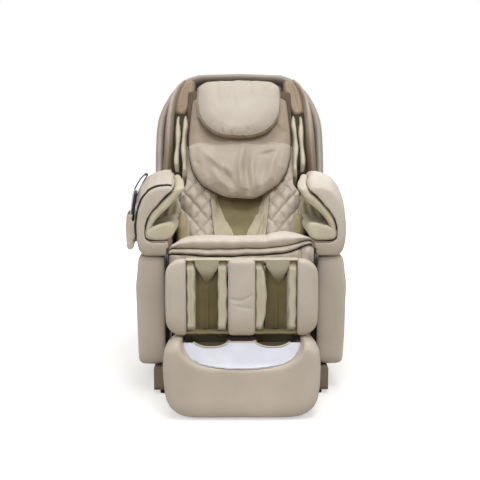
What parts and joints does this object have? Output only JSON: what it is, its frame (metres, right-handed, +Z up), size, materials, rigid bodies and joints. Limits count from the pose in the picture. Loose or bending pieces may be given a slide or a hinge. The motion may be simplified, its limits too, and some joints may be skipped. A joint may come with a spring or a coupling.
{
  "type": "massage chair",
  "caption": "Reclining massage chair on a steel base: padded shell back with roller carriage, hanging pad and pillow, lined armrests, leg rest with calf channels and foot unit, corded handset.",
  "frame": {"origin": "on the floor, below the middle of the chair's bounding box at rest", "axes": "+Z up, the sitter faces -Y, the plane of symmetry is X = 0"},
  "size_m": [0.8374, 1.2398, 1.208],
  "materials": {
    "leatherette": "coated cloth with a fine leather grain, over foam",
    "lining_cloth": "smooth coated cloth",
    "channel_cloth": "brushed stretch cloth",
    "frame_steel": "black powder coat",
    "bright_steel": "drawn and polished",
    "black_plastic": "fine texture",
    "brown_plastic": "fine texture",
    "silver_plastic": "silver lacquer",
    "board": "sanded plywood",
    "black_rubber": "moulded",
    "castor_nylon": "moulded nylon",
    "roller_resin": "moulded resin",
    "cord_sheath": "smooth PVC sheath"
  },
  "bodies": {
    "base": {"base_frame": "frame_steel", "base_skirts": "brown_plastic", "front_feet": "black_rubber", "slide_rails": "frame_steel", "side_panel_left": "leatherette", "side_panel_right": "leatherette", "power_box": "black_plastic", "mains_inlet": "black_plastic", "air_pump": "black_plastic"},
    "castor_wheel_left": {"castor_left": "castor_nylon"},
    "castor_wheel_right": {"castor_right": "castor_nylon"},
    "mains_rocker": {"power_switch": "black_plastic"},
    "seat": {"seat_frame": "frame_steel", "seat_pan": "board", "seat_cushion": "leatherette", "hip_airbags": "lining_cloth", "armrest_left": "leatherette", "armrest_right": "leatherette", "armrest_lining_left": "lining_cloth", "armrest_lining_right": "lining_cloth", "armrest_tray_left": "lining_cloth", "armrest_tray_right": "lining_cloth", "saddlebag": "leatherette", "cord_gland": "black_plastic", "handset": "black_plastic", "handset_cord": "cord_sheath"},
    "power_key": {"key_power": "silver_plastic"},
    "up_key": {"key_up": "silver_plastic"},
    "down_key": {"key_down": "silver_plastic"},
    "recline_motor_tube": {"recline_motor": "black_plastic"},
    "recline_motor_rod": {"recline_rod": "bright_steel"},
    "leg_motor_tube": {"leg_motor": "black_plastic"},
    "leg_motor_rod": {"leg_rod": "bright_steel"},
    "back": {"back_frame": "frame_steel", "back_rails": "bright_steel", "back_shell": "leatherette", "back_cushion": "leatherette", "channel_cover": "channel_cloth", "wing_left": "leatherette", "wing_right": "leatherette", "shoulder_airbags_left": "lining_cloth", "shoulder_airbags_right": "lining_cloth"},
    "hanging_pad": {"back_pad": "leatherette", "pillow": "leatherette"},
    "carriage": {"massage_carriage": "black_plastic"},
    "kneading_arm_left": {"massage_arm_left": "frame_steel"},
    "kneading_arm_right": {"massage_arm_right": "frame_steel"},
    "upper_left_roller": {"roller_upper_left": "roller_resin"},
    "lower_left_roller": {"roller_lower_left": "roller_resin"},
    "upper_right_roller": {"roller_upper_right": "roller_resin"},
    "lower_right_roller": {"roller_lower_right": "roller_resin"},
    "leg_rest": {"leg_frame": "frame_steel", "calf_shell": "leatherette", "calf_pads": "leatherette", "calf_airbags": "lining_cloth"},
    "foot_unit": {"foot_frame": "frame_steel", "foot_shell": "leatherette", "toe_panel": "silver_plastic", "foot_wells": "lining_cloth"},
    "sole_shaft": {"sole_rollers": "roller_resin"}
  },
  "joints": [
    {"name": "castor_spin_left", "type": "hinge", "parent": "base", "child": "castor_wheel_left", "pos_m": [-0.266, 0.43, 0.035], "axis": [1, 0, 0], "continuous": true},
    {"name": "castor_spin_right", "type": "hinge", "parent": "base", "child": "castor_wheel_right", "pos_m": [0.266, 0.43, 0.035], "axis": [1, 0, 0], "continuous": true},
    {"name": "mains_rocker_tip", "type": "hinge", "parent": "base", "child": "mains_rocker", "pos_m": [-0.07, 0.404, 0.152], "axis": [1, 0, 0], "range_deg": [-8, 8]},
    {"name": "seat_slide", "type": "slide", "parent": "base", "child": "seat", "axis": [0, -1, 0], "range_m": [0, 0.1401]},
    {"name": "back_recline", "type": "hinge", "parent": "seat", "child": "back", "pos_m": [0, 0.15, 0.43], "axis": [-1, 0, 0], "range_deg": [0, 45]},
    {"name": "leg_lift", "type": "hinge", "parent": "seat", "child": "leg_rest", "pos_m": [0, -0.492, 0.53], "axis": [-1, 0, 0], "range_deg": [0, 85]},
    {"name": "foot_extend", "type": "slide", "parent": "leg_rest", "child": "foot_unit", "axis": [0, 0, -1], "range_m": [0, 0.12]},
    {"name": "sole_spin", "type": "hinge", "parent": "foot_unit", "child": "sole_shaft", "pos_m": [0, -0.47, 0.091], "axis": [1, 0, 0], "continuous": true},
    {"name": "recline_motor_swing", "type": "hinge", "parent": "seat", "child": "recline_motor_tube", "pos_m": [0.056, -0.22, 0.37], "axis": [1, 0, 0], "range_deg": [-1, 0]},
    {"name": "recline_motor_stroke", "type": "slide", "parent": "recline_motor_tube", "child": "recline_motor_rod", "axis": [0, 0.9999, 0.0111], "range_m": [-0.047, 0]},
    {"name": "leg_motor_swing", "type": "hinge", "parent": "seat", "child": "leg_motor_tube", "pos_m": [-0.056, -0.147, 0.385], "axis": [1, 0, 0], "range_deg": [0, 1]},
    {"name": "leg_motor_stroke", "type": "slide", "parent": "leg_motor_tube", "child": "leg_motor_rod", "axis": [0, -0.9514, 0.3078], "range_m": [0, 0.056]},
    {"name": "carriage_travel", "type": "slide", "parent": "back", "child": "carriage", "axis": [0, 0.4695, 0.8829], "range_m": [0, 0.45]},
    {"name": "kneading_left", "type": "hinge", "parent": "carriage", "child": "kneading_arm_left", "pos_m": [-0.06, 0.22275, 0.58386], "axis": [1, 0, 0], "range_deg": [-5, 5]},
    {"name": "kneading_right", "type": "hinge", "parent": "carriage", "child": "kneading_arm_right", "pos_m": [0.06, 0.22275, 0.58386], "axis": [1, 0, 0], "range_deg": [-5, 5]},
    {"name": "upper_roller_spin_left", "type": "hinge", "parent": "kneading_arm_left", "child": "upper_left_roller", "pos_m": [-0.041, 0.21537, 0.64667], "axis": [1, 0, 0], "continuous": true},
    {"name": "upper_roller_spin_right", "type": "hinge", "parent": "kneading_arm_right", "child": "upper_right_roller", "pos_m": [0.041, 0.21537, 0.64667], "axis": [1, 0, 0], "continuous": true},
    {"name": "lower_roller_spin_left", "type": "hinge", "parent": "kneading_arm_left", "child": "lower_left_roller", "pos_m": [-0.041, 0.16655, 0.55485], "axis": [1, 0, 0], "continuous": true},
    {"name": "lower_roller_spin_right", "type": "hinge", "parent": "kneading_arm_right", "child": "lower_right_roller", "pos_m": [0.041, 0.16655, 0.55485], "axis": [1, 0, 0], "continuous": true},
    {"name": "pad_lift", "type": "hinge", "parent": "back", "child": "hanging_pad", "pos_m": [0, 0.38726, 1.15101], "axis": [-1, 0, 0], "range_deg": [0, 60]},
    {"name": "key_power_press", "type": "slide", "parent": "seat", "child": "power_key", "axis": [0.9853, 0.0689, -0.1564], "range_m": [0, 0.0012], "stiffness_N_per_m": 400, "springref_m": -0.0004},
    {"name": "key_up_press", "type": "slide", "parent": "seat", "child": "up_key", "axis": [0.9853, 0.0689, -0.1564], "range_m": [0, 0.0012], "stiffness_N_per_m": 400, "springref_m": -0.0004},
    {"name": "key_down_press", "type": "slide", "parent": "seat", "child": "down_key", "axis": [0.9853, 0.0689, -0.1564], "range_m": [0, 0.0012], "stiffness_N_per_m": 400, "springref_m": -0.0004}
  ],
  "couplings": [
    {"joint": "seat_slide", "follows": "back_recline", "m_per_rad": 0.17825},
    {"joint": "recline_motor_swing", "follows": "back_recline", "ratio": -0.008},
    {"joint": "recline_motor_stroke", "follows": "back_recline", "m_per_rad": -0.05853},
    {"joint": "leg_motor_swing", "follows": "leg_lift", "ratio": 0.004},
    {"joint": "leg_motor_stroke", "follows": "leg_lift", "m_per_rad": 0.037034},
    {"joint": "kneading_right", "follows": "kneading_left", "ratio": -1}
  ]
}
